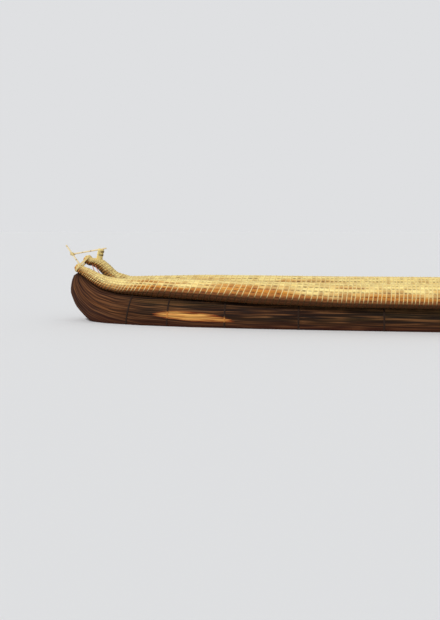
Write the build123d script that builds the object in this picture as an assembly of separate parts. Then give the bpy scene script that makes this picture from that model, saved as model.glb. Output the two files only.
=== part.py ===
from build123d import *
import math
import os

# Reed boat: two big reed bundles side by side, a slim core bundle in the valley
# between them and a gunwale roll along each side, all bound with rope.
# Millimetres. +X is forward, +Y is port, +Z is up. The origin is on the
# waterline, amidships, on the centre plane.

# Driving sizes
half_length = 6800          # from amidships to the top of the stem
pair_gap = 0.6              # between the two main bundles, on the centre plane
seat_depth = 35             # how far a gunwale roll is let into its main bundle
seat_gap = 0.9              # between a long bundle and what carries it
ring_width = 24             # flat rope ring on a gunwale roll, along the roll
ring_thickness = 9          # and off its surface
ring_pitch = 330            # from one ring to the next
ring_stop = 3.0             # degrees short of the saddle, where a ring ends
hoop_width = 30             # flat rope hoop on a main bundle, along the hull
hoop_thickness = 11         # and off its surface
hoop_pitch = 1300           # from one hoop to the next
bilge = -15                 # degrees, where the side's long arc starts in every section
shortest_ringed = 200       # the shortest stretch between sections that takes a ring
shortest_hooped = 500       # and a hoop
tip_length = 150            # how far a gunwale roll runs on past its last seat
tip_round = 40              # rounded end of that stretch
tip_share = 0.62            # the tip's end face, as a share of the roll's radius there
binding_width = 44          # rope belt round both tips at an end of the boat
binding_thickness = 14      # and off their surface
binding_edge = 5            # from the belt to where the tips start to round off
pole_radius = 17.5          # bow pole, at its foot between the roll tips
pole_top_radius = 15        # and at its top, once it has tapered
pole_straight = 180         # the even stretch at its top
pole_length = 620           # from its foot on the stem to its top
pole_rake = 55.0            # degrees up from level, leaning out over the bow
rail_radius = 16            # rail from the pole to the post
rail_height = 400           # from the pole's foot up the pole to the rail
rail_overhang = 45          # past the pole at one end and past the post at the other
post_radius = 54            # short reed post on the starboard roll
post_height = 200           # out of the roll
post_rake = 76.0            # degrees up from level, leaning aft
post_back = 330             # its foot, aft of the stem's top
stick_radius = 8            # thin sticks wedged between the rolls in the bow opening
STICKS = [                  # each: aft of the stem's top on the port roll, and on the starboard
    (400, 190),
    (560, 230),
]
touch = 0.3                 # between a small piece or a band and what carries it

# Sections of the bow half, from amidships to the stem; the stern half mirrors them.
# back: distance from the stem's top to the highest point of the main bundle
# top: height of that point; tilt: lean of the main bundle's section, degrees
# main: main bundle's radius; main_y: its centre's distance from the centre plane
# turn: lean of the gunwale roll's section, which turns up less than the main bundle
# roll: gunwale roll's radius; roll_y: its centre's distance from the centre plane
# core: core bundle's radius, 0 where it has ended
# lift: how far the starboard roll has risen off its seat, at the bow only
SECTIONS = [
    # back, top, tilt, main, main_y, turn, roll, roll_y, core, lift
    (half_length, 646, 0.0, 560, 520, 0.0, 224, 1020, 118, 0),
    (5200, 638, 0.0, 552, 510, 0.0, 222, 990, 116, 0),
    (3700, 618, 1.0, 528, 485, 1.0, 214, 885, 112, 0),
    (2450, 598, 3.0, 492, 430, 3.0, 196, 690, 100, 0),
    (1500, 594, 7.0, 456, 330, 7.0, 177, 480, 60, 0),
    (900, 630, 15.0, 424, 200, 15.0, 158, 350, 26, 0),
    (560, 704, 27.0, 392, 120, 25.0, 143, 272, 0, 70),
    (340, 808, 38.0, 335, 80, 33.0, 127, 212, 0, 185),
    (180, 914, 48.0, 255, 50, 35.0, 111, 165, 0, 240),
    (85, 978, 55.0, 160, 40, 36.0, 99, 134, 0, 228),
    (30, 1010, 60.0, 95, 30, 37.0, 90, 110, 0, 205),
]


def up_at(lean):
    """Up in a section's plane. lean is in radians, towards amidships at either end."""
    return Vector(-math.sin(lean), 0, math.cos(lean))


def ahead_at(lean):
    """Square to a section's plane, towards the bow."""
    return Vector(math.cos(lean), 0, math.sin(lean))


def section_plane(centre, lean):
    return Plane(origin=centre, x_dir=(0, 1, 0), z_dir=ahead_at(lean))


class Station:
    """The boat's sections at one row of the table. end is 1 at the bow and -1 at the stern."""

    def __init__(self, row, end):
        (back, top, tilt, self.main, self.main_y, turn, self.roll, self.roll_y, self.core,
         lift) = row
        self.lift = lift if end > 0 else 0
        self.lean = math.radians(tilt) * end
        self.roll_lean = math.radians(turn) * end
        crest = Vector(end * (half_length - back), 0, top)
        up = up_at(self.lean)
        self.centre = crest - up * self.main
        self.plane = section_plane(self.centre, self.lean)
        # the roll's centre, as high over the main bundle's centre as its seat holds it
        reach = self.main + self.roll - seat_depth
        self.roll_v = math.sqrt(reach**2 - (self.roll_y - self.main_y) ** 2)
        self.roll_centre = self.centre + up * self.roll_v
        # height of the core's centre, lying against both main bundles
        hold = self.main + self.core + seat_gap
        self.core_v = math.sqrt(hold**2 - self.main_y**2)

    def axis_point(self, side):
        """Where a gunwale roll's axis meets the section."""
        lift = self.lift if side < 0 else 0
        return self.roll_centre + up_at(self.roll_lean) * lift + Vector(0, side * self.roll_y, 0)


class Between:
    """The sizes part of the way from one station to the next."""

    NAMES = ("main", "main_y", "roll", "roll_y", "roll_v", "lean", "roll_lean")

    def __init__(self, aft, fore, share):
        for name in self.NAMES:
            start = getattr(aft, name)
            setattr(self, name, start + share * (getattr(fore, name) - start))
        self.centre = aft.centre + (fore.centre - aft.centre) * share
        self.run = (fore.centre - aft.centre).length
        self.aft, self.fore, self.share = aft, fore, share

    def flare(self, size, lean):
        """How fast a bundle widens or turns along the boat at its surface, as a ratio."""
        widening = abs(getattr(self.fore, size) - getattr(self.aft, size))
        turning = abs(getattr(self.fore, lean) - getattr(self.aft, lean)) * getattr(self, size)
        return max(widening, turning) / self.run


def circles_cross(near, far, apart):
    """Half the angle, at the near circle's centre, that the far circle covers."""
    return math.degrees(math.acos((apart**2 + near**2 - far**2) / (2 * apart * near)))


def seat_line(section):
    """Distance and direction from the main bundle's centre to the roll's centre."""
    dy = section.roll_y - section.main_y
    return math.hypot(dy, section.roll_v), math.degrees(math.atan2(section.roll_v, dy))


def polar(centre, radius, degrees):
    a = math.radians(degrees)
    return (centre[0] + radius * math.cos(a), centre[1] + radius * math.sin(a))


def round_face(centre, lean, radius):
    """A disc drawn as two half arcs, so that every section starts at its side."""
    with BuildSketch(section_plane(centre, lean)) as disc:
        with BuildLine():
            ThreePointArc((radius, 0), (0, radius), (-radius, 0))
            ThreePointArc((-radius, 0), (0, -radius), (radius, 0))
        make_face()
    return disc.sketch.face()


def main_face(station, side):
    """Round bundle with a flat against its twin."""
    rise = math.degrees(math.acos((pair_gap / 2 - station.main_y) / station.main))

    def rim(angle):
        y, v = polar((station.main_y, 0), station.main, angle)
        return (side * y, v)

    with BuildSketch(station.plane) as profile:
        with BuildLine():
            for start, stop in ((rise, 90), (90, bilge), (bilge, -90), (-90, -rise)):
                ThreePointArc(rim(start), rim((start + stop) / 2), rim(stop))
            Line(rim(-rise), rim(rise))
        make_face()
    return profile.sketch.face()


BOW = [Station(row, 1) for row in SECTIONS]
STERN = [Station(row, -1) for row in SECTIONS]
STATIONS = list(reversed(STERN)) + BOW[1:]


def two_halves(make_faces):
    """A bundle lofted from each end to amidships, as its reeds are laid."""
    halves = [loft(list(reversed(make_faces(half))), ruled=True) for half in (STERN, BOW)]
    return halves[0] + halves[1]


def main_bundle(side):
    """Main bundle with a saddle all along it, where its gunwale roll is let in."""
    whole = two_halves(lambda half: [main_face(s, side) for s in half])
    return whole - gunwale_roll(side, grow=seat_gap)


def core_bundle():
    return two_halves(
        lambda half: [
            round_face(s.centre + up_at(s.lean) * s.core_v, s.lean, s.core)
            for s in half
            if s.core > 0
        ]
    )


def tip_faces(station, side, grow):
    """The gunwale roll's sections past its last seat, straight on and rounded off."""
    faces = []
    lean = station.roll_lean
    way = ahead_at(lean) * math.copysign(1, lean)
    for along, share in ((tip_length - tip_round, 1.0), (tip_length, tip_share)):
        centre = station.axis_point(side) + way * along
        faces.append(round_face(centre, lean, station.roll * share + grow))
    return faces


def gunwale_roll(side, grow=0.0):
    def faces(half):
        seated = [round_face(s.axis_point(side), s.roll_lean, s.roll + grow) for s in half]
        return seated + tip_faces(half[-1], side, grow)

    return two_halves(faces)


def band(plane, centre, radius, start, stop, width, thickness, along):
    """A flat rope band round part of a bundle, between two angles in the plane."""
    mid = (start + stop) / 2
    rim = radius + thickness
    with BuildSketch(plane) as profile:
        with BuildLine():
            ThreePointArc(*(polar(centre, radius, a) for a in (start, mid, stop)))
            Line(polar(centre, radius, stop), polar(centre, rim, stop))
            ThreePointArc(*(polar(centre, rim, a) for a in (stop, mid, start)))
            Line(polar(centre, rim, start), polar(centre, radius, start))
        make_face()
    face = profile.sketch.face().moved(Location(along * (-width / 2)))
    return extrude(face, amount=width, dir=along)


def spans(pitch, shortest):
    """Sections about a pitch apart, all along the boat."""
    for aft, fore in zip(STATIONS, STATIONS[1:]):
        run = (fore.centre - aft.centre).length
        if run < shortest:
            continue
        count = max(1, round(run / pitch))
        for i in range(count):
            yield Between(aft, fore, (i + 0.5) / count)


def roll_rings(side, grow=0.0):
    """Rings round the roll, open where it lies in its saddle."""
    rings = []
    for here in spans(ring_pitch, shortest_ringed):
        ends = [s.axis_point(side) for s in (here.aft, here.fore)]
        along = (ends[1] - ends[0]).normalized()
        middle = ends[0] + (ends[1] - ends[0]) * here.share
        plane = section_plane(middle, here.roll_lean)
        apart, aim = seat_line(here)
        radius = here.roll + seat_gap + here.flare("roll", "roll_lean") * ring_width / 2
        hidden = circles_cross(radius + ring_thickness, here.main + seat_gap, apart) + ring_stop
        start, stop = aim + 180 + hidden - 360, aim + 180 - hidden
        if side < 0:
            start, stop = 180 - stop, 180 - start
        rings.append(
            band(
                plane, (0, 0), radius - grow, start, stop,
                ring_width + 2 * grow, ring_thickness + 2 * grow, along,
            )
        )
    return gather(rings)


def hull_hoops():
    """Hoops round the port main bundle, from the roll's crease to the keel line."""
    hoops = []
    for here in spans(hoop_pitch, shortest_hooped):
        ends = [s.centre + Vector(0, s.main_y, 0) for s in (here.aft, here.fore)]
        along = (ends[1] - ends[0]).normalized()
        apart, aim = seat_line(here)
        radius = here.main + touch + here.flare("main", "lean") * hoop_width / 2
        rim = radius + hoop_thickness
        room = here.roll + seat_gap + 2 * ring_thickness
        top = aim - circles_cross(rim, room, apart)
        edge = pair_gap / 2 + hoop_width / 2 * abs(along.Y / along.X)
        foot = -math.degrees(math.acos((edge - here.main_y) / rim))
        hoops.append(
            band(
                section_plane(here.centre, here.lean), (here.main_y, 0), radius, foot, top,
                hoop_width, hoop_thickness, along,
            )
        )
    return gather(hoops)


def gather(shapes):
    return Compound(children=[solid for shape in shapes for solid in shape.solids()])


def belt_face(plane, first, second, radius):
    """The outline of a belt pulled tight round two equal rounds."""
    away = Vector(second[0] - first[0], second[1] - first[1], 0)
    turn = math.degrees(math.atan2(away.Y, away.X))
    with BuildSketch(plane) as outline:
        with BuildLine():
            a, b = polar(first, radius, turn + 90), polar(first, radius, turn - 90)
            c, d = polar(second, radius, turn - 90), polar(second, radius, turn + 90)
            ThreePointArc(a, polar(first, radius, turn + 180), b)
            Line(b, c)
            ThreePointArc(c, polar(second, radius, turn), d)
            Line(d, a)
        make_face()
    return outline.sketch.face()


def binding(end):
    """Rope belt round the two roll tips at one end of the boat."""
    station = STATIONS[-1] if end > 0 else STATIONS[0]
    ahead = ahead_at(station.roll_lean)
    inset = tip_length - tip_round - binding_edge - binding_width / 2
    start = station.roll_centre + ahead * (end * inset) - ahead * (binding_width / 2)
    plane = section_plane(start, station.roll_lean)
    port = (station.roll_y, 0)
    starboard = (-station.roll_y, station.lift)
    snug = station.roll + touch
    outside = extrude(
        belt_face(plane, port, starboard, snug + binding_thickness), amount=binding_width
    )
    inside = extrude(belt_face(plane, port, starboard, snug), amount=binding_width)
    return outside - inside


def rod(foot, direction, length, radius):
    disc = Plane(origin=foot, z_dir=direction) * Circle(radius)
    return extrude(disc, amount=length)


def raked(degrees, forward):
    a = math.radians(degrees)
    return Vector(forward * math.cos(a), 0, math.sin(a))


STEM = STATIONS[-1]
POLE_WAY = raked(pole_rake, 1)
POLE_FOOT = STEM.roll_centre + Vector(0, STEM.roll_y - STEM.roll - pole_radius - touch, 0)


def roll_axis(side, back):
    """The roll's axis and radius, a distance aft of the stem's top."""
    for aft, fore in zip(STATIONS, STATIONS[1:]):
        a, b = aft.axis_point(side), fore.axis_point(side)
        wanted = half_length - back
        if a.X <= wanted < b.X:
            share = (wanted - a.X) / (b.X - a.X)
            return a + (b - a) * share, aft.roll + share * (fore.roll - aft.roll)


def pole_radius_at(height):
    """The pole tapers evenly up to its straight top stretch."""
    share = min(1.0, height / (pole_length - pole_straight))
    return pole_radius + share * (pole_top_radius - pole_radius)


def bow_pole():
    shoulder = POLE_FOOT + POLE_WAY * (pole_length - pole_straight)
    foot_disc = Plane(origin=POLE_FOOT, z_dir=POLE_WAY) * Circle(pole_radius)
    shoulder_disc = Plane(origin=shoulder, z_dir=POLE_WAY) * Circle(pole_top_radius)
    tapered = loft([foot_disc.face(), shoulder_disc.face()], ruled=True)
    return tapered + rod(shoulder, POLE_WAY, pole_straight, pole_top_radius)


def bow_post():
    """Reed post, its foot fitted over the roll and a ring, its top notched for the rail."""
    foot, roll_radius = roll_axis(-1, post_back)
    whole = rod(foot, raked(post_rake, -1), roll_radius + post_height, post_radius)
    return (
        whole
        - gunwale_roll(-1, grow=touch)
        - roll_rings(-1, grow=touch)
        - bow_rail(grow=touch)
    )


def bow_sticks():
    """Two sticks wedged across the bow opening, their ends fitted to the rolls."""
    rods = []
    for port_back, starboard_back in STICKS:
        start, _ = roll_axis(1, port_back)
        end, _ = roll_axis(-1, starboard_back)
        rods.append(rod(start, (end - start).normalized(), (end - start).length, stick_radius))
    for side in (1, -1):
        clear, rings = gunwale_roll(side, grow=touch), roll_rings(side, grow=touch)
        rods = [one - clear - rings for one in rods]
    return gather(rods)


def bow_rail(grow=0.0):
    """Rail lying against the pole at one end and in the post's notch at the other."""
    foot, roll_radius = roll_axis(-1, post_back)
    post_way = raked(post_rake, -1)
    top = foot + post_way * (roll_radius + post_height - rail_radius / 2)
    crossing = POLE_FOOT + POLE_WAY * rail_height
    way = (crossing - top).normalized()
    reach = pole_radius_at(rail_height - rail_radius) + rail_radius + touch
    off = POLE_WAY.cross(way).normalized() * reach
    if off.Y > 0:
        off = off * -1
    way = (crossing + off - top).normalized()
    length = (crossing + off - top).length
    start = top - way * (rail_overhang + post_radius)
    return rod(start, way, length + post_radius + 2 * rail_overhang, rail_radius + grow)


def write(shape, node):
    export_step(shape, f"parts/{node}.step")


os.makedirs("parts", exist_ok=True)
write(core_bundle(), "core_bundle")
port_hoops = hull_hoops()
write(port_hoops, "hull_hoops_port")
write(mirror(port_hoops, about=Plane.XZ), "hull_hoops_starboard")
for side, name in ((1, "port"), (-1, "starboard")):
    write(main_bundle(side), f"main_bundle_{name}")
    write(gunwale_roll(side), f"gunwale_roll_{name}")
    write(roll_rings(side), f"roll_rings_{name}")
write(binding(1), "bow_binding")
write(binding(-1), "stern_binding")
write(bow_pole(), "bow_pole")
write(bow_post(), "bow_post")
write(bow_rail(), "bow_rail")
write(bow_sticks(), "bow_sticks")
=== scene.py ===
# %% [markdown]
# A reed boat, built from bundles of dried reed stems that are bound with reed rope. The solid
# model gives every bundle its place and size. This lesson measures the solids, lays ribbed reed
# skins over them, winds the ropes on and gives each piece a finish.

# %% Load the solid model
import bpy
import math
import numpy as np
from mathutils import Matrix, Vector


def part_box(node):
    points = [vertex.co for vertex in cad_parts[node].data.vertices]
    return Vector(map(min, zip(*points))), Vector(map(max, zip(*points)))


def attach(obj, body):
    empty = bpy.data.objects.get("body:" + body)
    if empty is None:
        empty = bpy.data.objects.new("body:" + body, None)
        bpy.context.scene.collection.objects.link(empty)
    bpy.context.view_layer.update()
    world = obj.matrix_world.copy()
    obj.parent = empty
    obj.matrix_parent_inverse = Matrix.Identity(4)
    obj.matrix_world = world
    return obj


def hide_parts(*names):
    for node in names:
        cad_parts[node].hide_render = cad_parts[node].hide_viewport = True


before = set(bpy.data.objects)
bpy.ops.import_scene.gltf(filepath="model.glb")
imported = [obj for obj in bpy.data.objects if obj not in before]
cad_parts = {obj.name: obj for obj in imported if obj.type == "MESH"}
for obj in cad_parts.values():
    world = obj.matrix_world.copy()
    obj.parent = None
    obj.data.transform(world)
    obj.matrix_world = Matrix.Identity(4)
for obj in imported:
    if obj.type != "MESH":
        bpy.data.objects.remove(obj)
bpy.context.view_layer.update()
print("nodes:", sorted(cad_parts))

# %% [markdown]
# The camera stands low off the port bow, at eye height. Its place and lens were worked out from
# the level of the horizon, the line where the hull meets the water and the gunwale's slope.

# %% Place the camera
IMAGE_WIDTH = 440
FOCAL_PIXELS = 697.1
SENSOR_WIDTH = 36.0
CAMERA_PLACE = (2.325, 13.916, 1.840)
CAMERA_YAW = math.radians(6.539)
CAMERA_PITCH = math.radians(6.543)
CAMERA_REACH = 1500.0


def put(name, data):
    thing = bpy.data.objects.new(name, data)
    bpy.context.collection.objects.link(thing)
    return thing


camera_data = bpy.data.cameras.new("camera")
camera_data.sensor_fit = "HORIZONTAL"
camera_data.sensor_width = SENSOR_WIDTH
camera_data.lens = SENSOR_WIDTH * FOCAL_PIXELS / IMAGE_WIDTH
camera_data.clip_end = CAMERA_REACH
camera = put("camera", camera_data)
camera.location = CAMERA_PLACE
camera.rotation_euler = (math.radians(90) - CAMERA_PITCH, 0, math.radians(180) + CAMERA_YAW)
bpy.context.scene.camera = camera
print("lens:", round(camera_data.lens, 2), "mm")

# %% [markdown]
# The skins have to lie on the solids, so the solids are measured first. Planes cut each one at
# many stations, and the rims of the cuts are its outline. If the boat is redrawn, the skins follow.

# %% Read a solid and cut it with a plane
def read_solid(node):
    """A solid's corners and triangles, in the boat's frame."""
    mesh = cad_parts[node].data
    place = np.array(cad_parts[node].matrix_world)
    mesh.calc_loop_triangles()
    corners = np.empty(3 * len(mesh.vertices))
    mesh.vertices.foreach_get("co", corners)
    corners = corners.reshape(-1, 3) @ place[:3, :3].T + place[:3, 3]
    triangles = np.empty(3 * len(mesh.loop_triangles), dtype=np.int32)
    mesh.loop_triangles.foreach_get("vertices", triangles)
    return corners, triangles.reshape(-1, 3)


def cut(solid, point, normal):
    """Points on the line where a plane crosses a solid."""
    corners, triangles = solid
    height = (corners - point) @ normal
    above = height[triangles] > 0
    crossed = triangles[above.any(axis=1) & ~above.all(axis=1)]
    found = []
    for one, other in ((0, 1), (1, 2), (2, 0)):
        start, stop = crossed[:, one], crossed[:, other]
        spans = (height[start] > 0) != (height[stop] > 0)
        start, stop = start[spans], stop[spans]
        share = (height[start] / (height[start] - height[stop]))[:, None]
        found.append(corners[start] * (1 - share) + corners[stop] * share)
    return np.vstack(found)


main_solid = read_solid("main_bundle_port")
print("main bundle:", len(main_solid[1]), "triangles")

# %% [markdown]
# A real bundle's cross-section is square to its stems. Amidships that is an upright plane. Where
# the boat turns up, the planes lean back over it, more and more towards the stem. The main
# bundles turn up steeply. The rolls turn less and carry on past the stem to tips.

# %% Lay out the fans of cutting planes
MAIN_LEAN = (math.radians(60), 0.0, 0.665)  # lean at the stem, metres that keep it, metres to fade
ROLL_LEAN = (math.radians(37), 0.22, 0.70)
PLANES_A_SIDE = 46
END_CUT = 0.003  # the last plane stops this short of the solid's end
TIP_SHARES = (0.24, 0.48, 0.66, 0.79, 0.90, 0.98)  # of the way from the stem to a roll's tip

corners = main_solid[0]
forward = corners[corners[:, 0] > 0]
HEAD = forward[forward[:, 2].argmax(), 0]  # how far forward the stem's head is


def crest(x):
    """The top of the main bundle, a distance along the boat."""
    rim = cut(main_solid, np.array((x, 0, 0)), np.array((1.0, 0, 0)))
    return np.array((x, 0, rim[:, 2].max()))


def plane_at(back, end, lean, beyond=0.0):
    """A plane's point and normal. end is 1 at the bow and -1 at the stern."""
    most, level, fade = lean
    angle = most * math.exp(-max(back - level, 0) / fade)
    point = crest(HEAD - back) + beyond * np.array((math.cos(angle), 0, math.sin(angle)))
    normal = np.array((math.cos(angle), 0, end * math.sin(angle)))
    return point * (end, 1, 1), normal


def fan(lean, tips=()):
    """All the planes from the stern to the bow, with more of them near the ends."""
    backs = END_CUT + (HEAD - END_CUT) * np.linspace(1, 0, PLANES_A_SIDE) ** 2
    steps = [(back, 0.0) for back in backs] + [(END_CUT, tip) for tip in tips]
    bow, stern = ([plane_at(back, end, lean, tip) for back, tip in steps] for end in (1, -1))
    return stern[:0:-1] + bow


stem_point, stem_normal = plane_at(END_CUT, 1, ROLL_LEAN)
TIP_REACH = ((read_solid("gunwale_roll_port")[0] - stem_point) @ stem_normal).max()
TIPS = [share * TIP_REACH for share in TIP_SHARES]
MAIN_PLANES = fan(MAIN_LEAN)
ROLL_PLANES = fan(ROLL_LEAN, TIPS)
print("planes:", len(MAIN_PLANES), "for a main bundle,", len(ROLL_PLANES), "for a roll")
print("a tip stands", round(TIP_REACH, 3), "m past the stem")

# %% [markdown]
# A few steps with points and directions come back all through the lesson.

# %% Helpers for points and directions
def unit(ways):
    """Directions at length 1."""
    return ways / np.linalg.norm(ways, axis=-1, keepdims=True)


def run_lengths(points):
    """How far along a line each of its points lies."""
    return np.concatenate(([0], np.cumsum(np.linalg.norm(np.diff(points, axis=0), axis=1))))


def read_along(wanted, marks, points):
    """The places at the wanted marks along a line of marked points."""
    return np.stack([np.interp(wanted, marks, column) for column in points.T], -1)


def runs_round(points, axis):
    """The way that a closed line runs, at each of its points."""
    return np.roll(points, -1, axis=axis) - np.roll(points, 1, axis=axis)


def turns_of(sides, start=0.0):
    return np.arange(sides) * 2 * math.pi / sides + start


def circle(sides, side, up, start=0.0):
    """Directions all the way round, between two that are square to each other."""
    turn = turns_of(sides, start)[:, None]
    return np.cos(turn) * side + np.sin(turn) * up


print("a circle of 4:", circle(4, np.array((1, 0)), np.array((0, 1))).round(1).tolist())

# %% [markdown]
# Each rim is walked round by its length, from its hidden side, and a fixed number of points is
# set out along it. Point number ten of every rim then lies on one line down the boat, as a reed
# does, and the skin's seam is where nobody sees it.

# %% Turn the cuts into a bundle's skin
RIB_SHAPE = np.array((0.0, 0.62, 0.90, 1.0, 0.90, 0.62))  # across a rib, from its groove
STEMS_A_RIB = len(RIB_SHAPE)  # points across one rib of the skin
TURN_DIGITS = 4  # rim points whose angles agree to so many digits are one point
ACROSS = np.array((0.0, 1.0, 0.0))


class Bundle:
    """A bundle's rims, measured from its solid at stations from the stern to the bow."""

    def __init__(self, node, planes, ribs, hidden):
        """hidden(station, middle) is the direction from the bundle's middle to its hidden side."""
        solid = read_solid(node)
        self.ribs, self.count = ribs, ribs * STEMS_A_RIB
        middles, rims = [], []
        for number, (point, normal) in enumerate(planes):
            axes = np.stack((ACROSS, np.cross(normal, ACROSS)))
            flat = (cut(solid, point, normal) - point) @ axes.T
            centre = (flat.min(axis=0) + flat.max(axis=0)) / 2
            middle = point + centre @ axes
            side, up = axes @ hidden(number, middle)
            middles.append(middle)
            rims.append(middle + self.walk(flat - centre, math.atan2(up, side)) @ axes)
        self.middles, self.rims = np.array(middles), np.array(rims)
        self.stations = run_lengths(self.middles)
        self.length = self.stations[-1]
        self.girth = np.linalg.norm(np.diff(self.rims, axis=1), axis=2).sum(axis=1).max()
        self.out = self.outward(planes)

    def walk(self, flat, start):
        """Points at even lengths round a rim, from where it crosses the start angle."""
        turn = (np.arctan2(flat[:, 1], flat[:, 0]) - start) % (2 * math.pi)
        flat = flat[np.unique(np.round(turn, TURN_DIGITS), return_index=True)[1]]
        off = flat[[-1, 0]] @ np.array((-math.sin(start), math.cos(start)))
        seam = flat[-1] + (flat[0] - flat[-1]) * off[0] / (off[0] - off[1])
        flat = np.vstack((seam, flat, seam))
        gone = run_lengths(flat)
        return read_along(np.linspace(0, gone[-1], self.count, endpoint=False), gone, flat)

    def outward(self, planes):
        """The direction square to the skin at every point of every rim."""
        normals = np.array([normal for _, normal in planes])[:, None, :]
        out = unit(np.cross(runs_round(self.rims, 1), normals))
        outside = ((self.rims - self.middles[:, None]) * out).sum(axis=2).mean(axis=1)
        return out * np.sign(outside)[:, None, None]

    def middle(self, along):
        return read_along(along, self.stations, self.middles)

    def skin(self, along, lift=0.0):
        """Points on the skin, one column for each point of a rim, lifted off it."""
        station = np.interp(along, self.stations, np.arange(len(self.stations)))
        low = np.clip(station.astype(int), 0, len(self.stations) - 2)
        share = (station - low)[..., None]
        column = np.arange(self.count)
        place = self.rims[low, column] * (1 - share) + self.rims[low + 1, column] * share
        out = self.out[low, column] * (1 - share) + self.out[low + 1, column] * share
        return place + out * np.asarray(lift)[..., None]


print("a rib is", STEMS_A_RIB, "points wide")

# %% [markdown]
# A main bundle's hidden side is against its twin, and a gunwale roll's is in the saddle of its
# main bundle.

# %% Measure the four long bundles
ROLL_RIBS = 17
MAIN_RIBS = 40


def towards_main(main):
    """The direction from a roll's middle to the main bundle under it."""
    def direction(number, middle):
        nearest = min(max(number - len(TIPS), 0), len(main.middles) - 1)
        return main.middles[nearest] - middle
    return direction


mains, rolls = {}, {}
for name, side in (("port", 1), ("starboard", -1)):
    twin = np.array((0.0, -side, 0.0))
    mains[name] = Bundle(f"main_bundle_{name}", MAIN_PLANES, MAIN_RIBS, lambda *_: twin)
    hidden = towards_main(mains[name])
    rolls[name] = Bundle(f"gunwale_roll_{name}", ROLL_PLANES, ROLL_RIBS, hidden)
    print(name, "roll is", round(rolls[name].length, 2), "m long along its curve")

# %% [markdown]
# A skin is one mesh: rows of points along the bundle, joined into four-sided faces. Each point
# keeps what its finish has to know, above all its lay: where it is along and around the bundle,
# so that the grain of the reed can follow the stems.

# %% Make a mesh from rows of points
rng = np.random.default_rng(20)
slot_of = {}


def sleeve_faces(rows, columns, count, closed):
    """Faces of sleeves, whose rows of points run round. An open one gets a face over each end."""
    size, faces = rows * columns, []
    for first in range(0, count * size, size):
        for row in range(rows if closed else rows - 1):
            start, above = first + row * columns, first + (row + 1) * columns % size
            for column in range(columns):
                after = (column + 1) % columns
                faces.append((start + column, start + after, above + after, above + column))
        if not closed:
            last = first + size - columns
            faces.append(tuple(range(first, first + columns))[::-1])
            faces.append(tuple(range(last, last + columns)))
    return faces


def make_piece(name, points, node_names, slot, closed=False, smooth=True, **layers):
    """A piece of sleeves that stands for solid nodes. Layers are what its points keep."""
    points = np.array(points)
    rows, columns = points.shape[-3:-1]
    count = points.size // 3
    mesh = bpy.data.meshes.new(name)
    faces = sleeve_faces(rows, columns, count // (rows * columns), closed)
    mesh.from_pydata(points.reshape(-1, 3).tolist(), [], faces)
    if smooth:
        mesh.shade_smooth()
    for layer, values in layers.items():
        values = np.array(values, dtype=np.float32).ravel()
        if values.size == 1:
            values = values.repeat(count)
        kind, field = ("FLOAT", "value") if values.size == count else ("FLOAT_VECTOR", "vector")
        mesh.attributes.new(layer, kind, "POINT").data.foreach_set(field, values)
    piece = put(name, mesh)
    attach(piece, "root")
    slot_of[name] = slot
    if node_names:
        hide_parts(*node_names)
    print(f"{name}: {len(faces)} faces")


def lay_of(along, around, apart):
    """The lay of points. apart keeps the grain of one bundle from repeating the next one's."""
    return np.stack(np.broadcast_arrays(along, around, apart), -1)


print("random numbers start from a fixed seed, so every run makes the same boat")

# %% [markdown]
# A gunwale roll is wound with rope at every hand's breadth. The turns lean, with their tops
# towards amidships. They are closest at the tips, where the roll is thinnest.

# %% Space the rope turns along a roll
# Tables run from amidships outwards: metres from it, then a value there.
TURN_PITCH = ((0.0, 0.072), (1.3, 0.076), (2.1, 0.108), (3.0, 0.120), (5.1, 0.118),
              (5.5, 0.078), (6.2, 0.058), (6.55, 0.042), (7.0, 0.038))  # metres
TURN_LEAN = ((0.0, 0.0), (1.5, 6.0), (3.5, 27.0), (6.2, 27.0), (6.7, 8.0))  # degrees
PITCH_UNEVEN = (0.94, 1.06)
END_BARE = 0.03  # a roll's end shows this far past the last turn


def from_table(table, x):
    return np.interp(np.abs(x), *np.array(table).T)


def turn_places(roll):
    """Distances along a roll where its rope turns lie."""
    places = [END_BARE]
    while places[-1] < roll.length - END_BARE:
        pitch = from_table(TURN_PITCH, roll.middle(places[-1])[0])
        places.append(places[-1] + pitch * rng.uniform(*PITCH_UNEVEN))
    return np.array(places[:-1])


def leaning(roll, along):
    """Slides the points of level rows along the roll, so that they lean as the rope does."""
    middle = roll.middle(along)
    height = roll.skin(along[:, None])[..., 2] - middle[:, None, 2]
    lean = np.radians(from_table(TURN_LEAN, middle[:, 0])) * np.sign(middle[:, 0])
    return np.clip(along[:, None] - height * np.tan(lean)[:, None], 0, roll.length)


turns = {name: turn_places(roll) for name, roll in rolls.items()}
print("rope turns:", {name: len(places) for name, places in turns.items()})

# %% [markdown]
# A roll's top is pale straw, partly bleached by the sun and partly a painted highlight. Its underside
# is brown, partly from spray and damp and partly painted shade. How far the brown climbs and how
# golden the stems still are differ along the boat.

# %% Mark a roll's weather and its painted light and shade
BROWN_LINE = ((0.0, -0.42), (1.5, -0.36), (2.9, -0.17), (5.0, -0.06), (5.8, -0.35), (7.0, -0.70))
BROWN_FADE = 0.64  # a share of the roll's radius, as are the heights of the line
RIPE = ((0.0, 0.0), (1.4, 0.1), (2.4, 0.4), (3.4, 1.0), (5.2, 1.0), (6.1, -1.0))  # -1 straw, 1 gold
SUNNY_SIDE = {"port": 0.0, "starboard": 0.7}  # painted light: how much nearer to straw each roll is all along, on the sunny side


def rise(roll, along, points):
    """How high points are on a roll, from -1 at its underside to 1 at its top."""
    off = points - roll.middle(along)[:, None]
    return off[..., 2] / np.linalg.norm(off, axis=2)


def stain(roll, along, points):
    """1 where a roll is brown, from damp and painted shade, 0 where it is still golden."""
    line = from_table(BROWN_LINE, roll.middle(along)[:, 0])[:, None]
    return np.clip((line - rise(roll, along, points)) / BROWN_FADE + 0.5, 0, 1)


print("the brown line amidships:", BROWN_LINE[0][1], "and at the tips:", BROWN_LINE[-1][1])

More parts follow.
